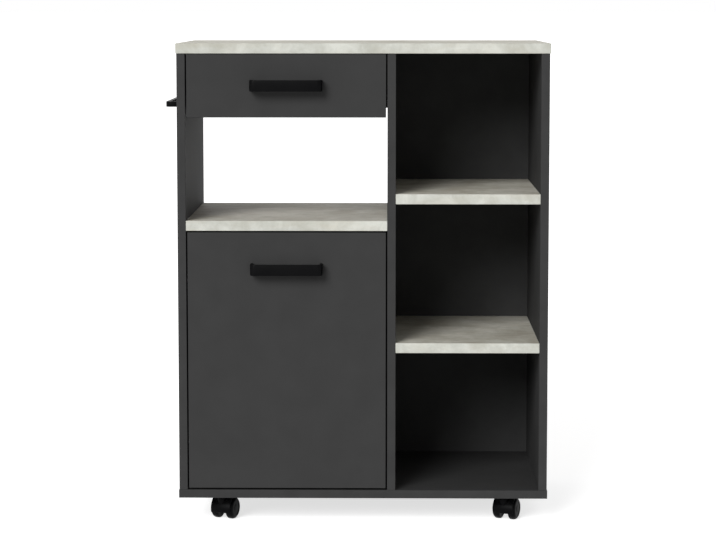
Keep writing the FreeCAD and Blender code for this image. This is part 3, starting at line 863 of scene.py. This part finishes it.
@dataclass
class Caster:
    """One twin-wheel caster, in a frame whose Z axis is the swivel and whose X axis is the axle."""

    shop: Workshop
    corner: str
    trail: float = 13.0
    wheel_radius: float = 20.0
    wheel_width: float = 14.0
    wheel_offset: float = 15.0
    wheel_steps: int = 56
    bore: float = 2.55
    hub_wall: float = 1.5
    recess_start: float = 6.5
    recess_end: float = 14.5
    recess_slope: float = 0.5
    recess_depth: float = 0.9
    inner_round: float = 3.0
    inner_steps: int = 4
    rim_round: float = 6.5
    rim_turn: float = 82.0
    rim_steps: int = 8
    dish_radius: float = 12.6
    dish_slope: float = 0.4
    dish_depth: float = 0.7
    dish_middle: float = 0.5
    cap_radius: float = 6.0
    cap_flat: float = 4.5
    face_drop: float = 0.1
    hood_outer: float = 22.8
    hood_inner: float = 21.2
    hood_half: float = 19.0
    hood_start: float = 45.0
    hood_end: float = 197.0
    hood_steps: int = 30
    hood_round: float = 0.5
    web_half: float = 7.0
    web_tail: float = 6.0
    web_gap: float = 0.3
    web_steps: int = 28
    web_round: float = 0.8
    boss_length: float = 16.0
    boss_foot: float = 28.0
    boss_top: float = 45.2
    boss_round: float = 5.0
    boss_steps: int = 5
    kingpin_radius: float = 3.0
    kingpin_top: float = 47.7
    kingpin_root: float = 1.0
    kingpin_chamfer: float = 0.4
    kingpin_steps: int = 32
    axle_round: float = 0.4

    def place(self) -> Matrix:
        """Finds where this caster stands and how it is turned, from the frame's joints.

        Returns:
            The matrix from the caster's own frame to the cart's.
        """
        swivel = self.shop.joints["swivel_turn_" + self.corner]["pos_m"]
        axle = self.shop.joints["wheel_roll_b_" + self.corner]["axis"]
        turn = Matrix.Rotation(math.atan2(axle[1], axle[0]), 4, "Z")
        return Matrix.Translation((swivel[0], swivel[1], 0)) @ turn

    def wheel_profile(self) -> Outline:
        """Draws the wheel's wall.

        Returns:
            (radius, height) pairs from the blind bore, round the tread, to the middle of the outer face.
        """
        half = self.wheel_width / 2
        tread = self.wheel_radius
        ledge = half - self.face_drop
        wall = [(0.0, half - self.hub_wall), (self.bore, half - self.hub_wall), (self.bore, -half)]
        wall += [
            (self.recess_start, -half), (self.recess_start + self.recess_slope, self.recess_depth - half),
            (self.recess_end - self.recess_slope, self.recess_depth - half), (self.recess_end, -half),
            (tread - self.inner_round, -half),
        ]
        centre = (tread - self.inner_round, self.inner_round - half)
        wall += bend(centre, self.inner_round, -90, 0, self.inner_steps)[1:]
        centre = (tread - self.rim_round, half - self.rim_round)
        wall += bend(centre, self.rim_round, 0, self.rim_turn, self.rim_steps)
        wall += [
            (self.dish_radius, ledge), (self.dish_radius - self.dish_slope, half - self.dish_depth),
            (self.cap_radius + self.dish_slope, half - self.dish_middle), (self.cap_radius, ledge),
            (self.cap_flat, half), (0.0, half),
        ]
        return wall

    def wheels(self) -> None:
        """Makes the two wheels, each on its own body."""
        for letter, side in (("a", -1), ("b", 1)):
            bm = lathe(self.wheel_profile(), self.wheel_steps)
            turn = Matrix.Rotation(side * math.pi / 2, 4, "Y")
            spot = Matrix.Translation(mm(side * self.wheel_offset, self.trail, self.wheel_radius))
            placed(bm, self.place() @ spot @ turn)
            shade_round(bm, TURNED_ANGLE)
            name = f"wheel_{letter}_{self.corner}"
            self.shop.deliver(name + "_dressed", bm, [TREAD], name, "caster_" + name)

    def hood(self) -> BMesh:
        """Makes the mudguard band, its edges rounded.

        Returns:
            The band.
        """
        centre = (self.trail, self.wheel_radius)
        outline = bend(centre, self.hood_outer, self.hood_start, self.hood_end, self.hood_steps)
        outline += bend(centre, self.hood_inner, self.hood_end, self.hood_start, self.hood_steps)
        bm = prism(outline, self.hood_half)
        soften(bm, self.hood_round)
        return bm

    def web(self) -> BMesh:
        """Makes the wall between the wheels.

        Returns:
            The wall.
        """
        centre = (self.trail, self.wheel_radius)
        outline = bend(centre, self.hood_outer - self.web_gap, self.hood_start, self.hood_end, self.web_steps)
        outline.append((self.trail + self.web_tail, outline[-1][1]))
        bm = prism(outline, self.web_half)
        soften(bm, self.web_round)
        return bm

    def boss(self) -> BMesh:
        """Makes the swivel boss, round at its corners.

        Returns:
            The boss.
        """
        half = self.boss_length / 2
        bm = block(mm(-self.web_half, -half, self.boss_foot), mm(self.web_half, half, self.boss_top))
        soften(bm, self.boss_round, self.boss_steps, uprights(bm))
        return bm

    def kingpin(self) -> BMesh:
        """Makes the riveted pin that the housing turns on.

        Returns:
            The pin, its wall shaded smooth and its ends flat.
        """
        radius = self.kingpin_radius
        top = self.kingpin_top
        foot = self.boss_top - self.kingpin_root
        shoulder = (radius, top - self.kingpin_chamfer)
        profile = [(0.0, foot), (radius, foot), shoulder, (radius - self.kingpin_chamfer, top), (0.0, top)]
        bm = lathe(profile, self.kingpin_steps)
        for face in bm.faces:
            face.smooth = abs(face.normal.z) < FACING
        return bm

    def build(self) -> None:
        """Makes the caster's housing, axle and wheels."""
        housing = merged([self.hood(), self.web(), self.boss(), self.kingpin()])
        placed(housing, self.place())
        swivel = "swivel_" + self.corner
        fork = "caster_fork_" + self.corner
        self.shop.deliver(fork + "_dressed", housing, [NYLON], swivel, fork)
        self.shop.dress("caster_axle_" + self.corner, swivel, ZINC, self.axle_round)
        self.wheels()


@dataclass
class CasterPlates:
    """The four top plates, screwed under the bottom panel."""

    shop: Workshop
    side: float = 42.0
    thickness: float = 2.5
    corner_round: float = 6.0
    corner_steps: int = 4
    screw_inset: float = 6.0
    bore: float = 3.08
    bore_steps: int = 32
    drill_start: float = -1.0
    drill_end: float = 4.0

    def centres(self) -> list[Vector]:
        """The swivel points, at the plates' undersides."""
        return [Vector(self.shop.joints["swivel_turn_" + corner]["pos_m"]) for corner in CORNERS]

    def build(self) -> None:
        """Makes the plates as one group."""
        half = self.side / 2
        wall = [(self.bore, self.drill_start), (self.bore, self.drill_end)]
        drill = [(0.0, self.drill_start), *wall, (0.0, self.drill_end)]
        plates = []
        for centre in self.centres():
            bm = block(centre + mm(-half, -half, 0), centre + mm(half, half, self.thickness))
            soften(bm, self.corner_round, self.corner_steps, uprights(bm))
            hole = lathe(drill, self.bore_steps)
            plates.append(carved(bm, placed(hole, Matrix.Translation(centre))))
        self.shop.deliver("caster_plates_dressed", merged(plates), [ZINC], "carcass", "caster_plates")

    def screw_places(self) -> Places:
        """Finds four screws in each plate, heads down.

        Returns:
            Their places.
        """
        reach = self.side / 2 - self.screw_inset
        return [
            (centre + mm(x, y, 0), -Z_AXIS)
            for centre in self.centres() for x in (-reach, reach) for y in (-reach, reach)
        ]


@dataclass
class Hardware:
    """Where every small fastener sits, each as a place and the way that its head faces."""

    shop: Workshop
    cam_inset: float = 34.0
    cam_front: float = 50.0
    rail_cam_inset: float = 24.0
    base_shares: tuple[float, ...] = (0.14, 0.5, 0.86)
    handle_leg: float = 2.5
    towel_leg: float = 4.0
    cup_half: float = 29.0
    cup_inset: float = 6.0
    plate_half: float = 24.0
    plate_inset: float = 5.0
    plate_back: float = 23.0
    arm_rise: float = 3.0
    arm_half: float = 6.0
    arm_backs: tuple[float, ...] = (7.0, 20.0)
    runner_sheet: float = 1.0
    runner_rise: float = 9.0
    runner_shares: tuple[float, ...] = (0.2, 0.55, 0.85)

    def shelf_cams(self) -> Places:
        """Finds the cam locks under the three shelves.

        Returns:
            Their places.
        """
        places = []
        for node in ("niche_shelf", "upper_shelf", "lower_shelf"):
            low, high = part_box(node)
            xs = ends(low.x, high.x, self.cam_inset)
            places += crossings(xs, ends(low.y, high.y, self.cam_front), [low.z], -Z_AXIS)
        return places

    def rail_cams(self) -> Places:
        """Finds the cam locks in the rear face of the rail behind the drawer.

        Returns:
            Their places.
        """
        low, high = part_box("rear_rail")
        xs = ends(low.x, high.x, self.cam_inset)
        return crossings(xs, [high.y], ends(low.z, high.z, self.rail_cam_inset), Y_AXIS)

    def base_screws(self) -> Places:
        """Finds the long screws through the bottom panel into the uprights.

        Returns:
            Their places.
        """
        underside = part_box("bottom_panel")[0].z
        places = []
        for node in ("left_side_panel", "centre_divider", "right_side_panel"):
            low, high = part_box(node)
            ys = at_shares(low.y, high.y, self.base_shares)
            places += crossings([(low.x + high.x) / 2], ys, [underside], -Z_AXIS)
        return places

    def handle_screws(self, handle: str, front: str) -> Places:
        """Finds the two screws that hold a handle, on the inner face of its front.

        Args:
            handle: the handle's node.
            front: the node of the board that carries it.

        Returns:
            Their places.
        """
        low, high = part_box(handle)
        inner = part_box(front)[1].y
        return crossings(ends(low.x, high.x, self.handle_leg), [inner], [(low.z + high.z) / 2], Y_AXIS)

    def towel_rail_screws(self) -> Places:
        """Finds the towel rail's screws, on the inner face of the left side panel.

        Returns:
            Their places.
        """
        low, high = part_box("towel_rail")
        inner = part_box("left_side_panel")[1].x
        return crossings([inner], ends(low.y, high.y, self.towel_leg), [(low.z + high.z) / 2], X_AXIS)

    def cup_screws(self) -> Places:
        """Finds two screws in each hinge cup's wings.

        Returns:
            Their places.
        """
        low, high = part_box("hinge_cups")
        reach = (self.cup_half - self.cup_inset) * MM
        zs = [z for middle in ends(low.z, high.z, self.cup_half) for z in (middle - reach, middle + reach)]
        return crossings([(low.x + high.x) / 2], [high.y], zs, Y_AXIS)

    def plate_screws(self) -> Places:
        """Finds two screws in each hinge plate's wings.

        Returns:
            Their places.
        """
        low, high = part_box("hinge_plates")
        reach = (self.plate_half - self.plate_inset) * MM
        zs = [z for middle in ends(low.z, high.z, self.plate_half) for z in (middle - reach, middle + reach)]
        return crossings([high.x], [low.y + self.plate_back * MM], zs, X_AXIS)

    def arm_screws(self) -> Places:
        """Finds the adjusting and clamping screws on each hinge arm.

        Returns:
            Their places.
        """
        low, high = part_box("hinge_arms")
        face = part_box("hinge_plates")[1].x + self.arm_rise * MM
        return [
            (Vector((face, high.y - back * MM, z)), X_AXIS)
            for z in ends(low.z, high.z, self.arm_half) for back in self.arm_backs
        ]

    def runner_screws(self) -> Places:
        """Finds the screws through the cabinet runners into the uprights.

        Returns:
            Their places.
        """
        places = []
        for node, normal in (("cabinet_runner_left", X_AXIS), ("cabinet_runner_right", -X_AXIS)):
            low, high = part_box(node)
            wall = low.x if normal.x > 0 else high.x
            x = wall + normal.x * self.runner_sheet * MM
            ys = at_shares(low.y, high.y, self.runner_shares)
            places += crossings([x], ys, [low.z + self.runner_rise * MM], normal)
        return places

    def build(self) -> None:
        """Sets every fastener."""
        drawer_pulls = self.handle_screws("drawer_handle", "drawer_front")
        door_pulls = self.handle_screws("door_handle", "door_panel")
        orders = (
            ("shelf_cam_locks", Fastener.CAM_LOCK, self.shelf_cams(), "carcass"),
            ("rear_rail_cam_locks", Fastener.CAM_LOCK, self.rail_cams(), "carcass"),
            ("base_screws", Fastener.BASE_SCREW, self.base_screws(), "carcass"),
            ("caster_plate_screws", Fastener.PAN_SCREW, CasterPlates(self.shop).screw_places(), "carcass"),
            ("drawer_handle_screws", Fastener.PAN_SCREW, drawer_pulls, "drawer"),
            ("door_handle_screws", Fastener.PAN_SCREW, door_pulls, "door"),
            ("towel_rail_screws", Fastener.PAN_SCREW, self.towel_rail_screws(), "carcass"),
            ("hinge_cup_screws", Fastener.FLAT_SCREW, self.cup_screws(), "door"),
            ("hinge_plate_screws", Fastener.FLAT_SCREW, self.plate_screws(), "carcass"),
            ("hinge_arm_screws", Fastener.FLAT_SCREW, self.arm_screws(), "carcass"),
            ("runner_screws", Fastener.FLAT_SCREW, self.runner_screws(), "carcass"),
        )
        box = FastenerBox(self.shop)
        for name, kind, places, body in orders:
            box.set_out(name, kind, places, body)


@dataclass
class Studio:
    """A pale floor, an even white surround, one soft key light and the camera."""

    floor_half: float = 400.0
    surround: float = 0.37
    key_strength: float = 2.75
    key_spread: float = 30.0
    key_turn: float = 27.0
    key_height: float = 28.0
    floor_paint: float = 0.86
    floor_lift: float = 0.7
    camera_place: tuple[float, float, float] = (57.7, -4214.5, 929.0)
    camera_tilt: float = 5.693
    camera_yaw: float = 0.776
    lens: float = 114.01
    shift_y: float = -0.05
    clip_end: float = 1000.0

    def seen_as_white(self, tree: bpy.types.NodeTree) -> bpy.types.NodeSocket:
        """Adds a factor that is 1 where the background is seen, and 0 where it only gives light.

        Args:
            tree: the material's or world's node tree.

        Returns:
            The socket with the factor: seen straight, through something clear or in a gloss.
        """
        path = add_node(tree, "ShaderNodeLightPath")
        clear = add_node(tree, "ShaderNodeMath", {"operation": "MAXIMUM"}, {
            0: path.outputs["Is Camera Ray"], 1: path.outputs["Is Transmission Ray"],
        })
        mirrored = add_node(tree, "ShaderNodeMath", {"operation": "MAXIMUM"}, {
            0: clear.outputs[0], 1: path.outputs["Is Glossy Ray"],
        })
        return mirrored.outputs[0]

    def world(self) -> None:
        """Makes a plain white surround, full white where it is seen."""
        world = bpy.data.worlds.new("white surround")
        bpy.context.scene.world = world
        world.use_nodes = True
        tree = world.node_tree
        tree.nodes.clear()
        level = add_node(tree, "ShaderNodeMapRange", inputs={
            "Value": self.seen_as_white(tree), "To Min": self.surround, "To Max": 1.0,
        })
        glow = add_node(tree, "ShaderNodeBackground", inputs={"Color": WHITE, "Strength": level.outputs[0]})
        add_node(tree, "ShaderNodeOutputWorld", inputs={"Surface": glow.outputs[0]})

    def floor(self) -> None:
        """Makes the floor, lifted to white where it is seen, so that only shadows show on it."""
        material, tree, _ = new_tree("white floor")
        paint = add_node(tree, "ShaderNodeBsdfDiffuse", inputs={"Color": (self.floor_paint,) * 3 + (1.0,)})
        level = add_node(tree, "ShaderNodeMath", {"operation": "MULTIPLY"}, {
            0: self.seen_as_white(tree), 1: self.floor_lift,
        })
        glow = add_node(tree, "ShaderNodeEmission", inputs={"Color": WHITE, "Strength": level.outputs[0]})
        both = add_node(tree, "ShaderNodeAddShader", inputs={0: paint.outputs[0], 1: glow.outputs[0]})
        add_node(tree, "ShaderNodeOutputMaterial", inputs={"Surface": both.outputs[0]})
        bm = bmesh.new()
        bmesh.ops.create_grid(bm, x_segments=1, y_segments=1, size=self.floor_half)
        mesh = bpy.data.meshes.new("floor")
        bm.to_mesh(mesh)
        bm.free()
        mesh.materials.append(material)
        floor = bpy.data.objects.new("floor", mesh)
        bpy.context.scene.collection.objects.link(floor)

    def key(self) -> None:
        """Hangs the key light, in front, to the left and a little above."""
        light = bpy.data.lights.new("key", "SUN")
        light.energy = self.key_strength
        light.angle = math.radians(self.key_spread)
        lamp = bpy.data.objects.new("key", light)
        lamp.rotation_euler = (math.radians(90 - self.key_height), 0, math.radians(-self.key_turn))
        bpy.context.scene.collection.objects.link(lamp)

    def camera(self) -> None:
        """Sets the camera at the photograph's angle."""
        data = bpy.data.cameras.new("camera")
        data.lens = self.lens
        data.shift_y = self.shift_y
        data.clip_end = self.clip_end
        camera = bpy.data.objects.new("camera", data)
        camera.location = mm(*self.camera_place)
        camera.rotation_euler = (math.radians(90 - self.camera_tilt), 0, math.radians(self.camera_yaw))
        bpy.context.scene.collection.objects.link(camera)
        bpy.context.scene.camera = camera

    def build(self) -> None:
        """Sets the whole stage."""
        self.world()
        self.floor()
        self.key()
        self.camera()
        bpy.context.scene.view_settings.view_transform = "Standard"


def main() -> None:
    """Builds the dressed cart and its stage."""
    logging.basicConfig(level=logging.INFO, format="%(name)s %(message)s")
    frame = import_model()
    shop = Workshop(frame)
    Boards(shop).build()
    Door(shop).build()
    Handles(shop).build()
    Runners(shop).build()
    for corner in CORNERS:
        Caster(shop, corner).build()
    CasterPlates(shop).build()
    Hardware(shop).build()
    Studio().build()


if __name__ == "__main__":
    main()
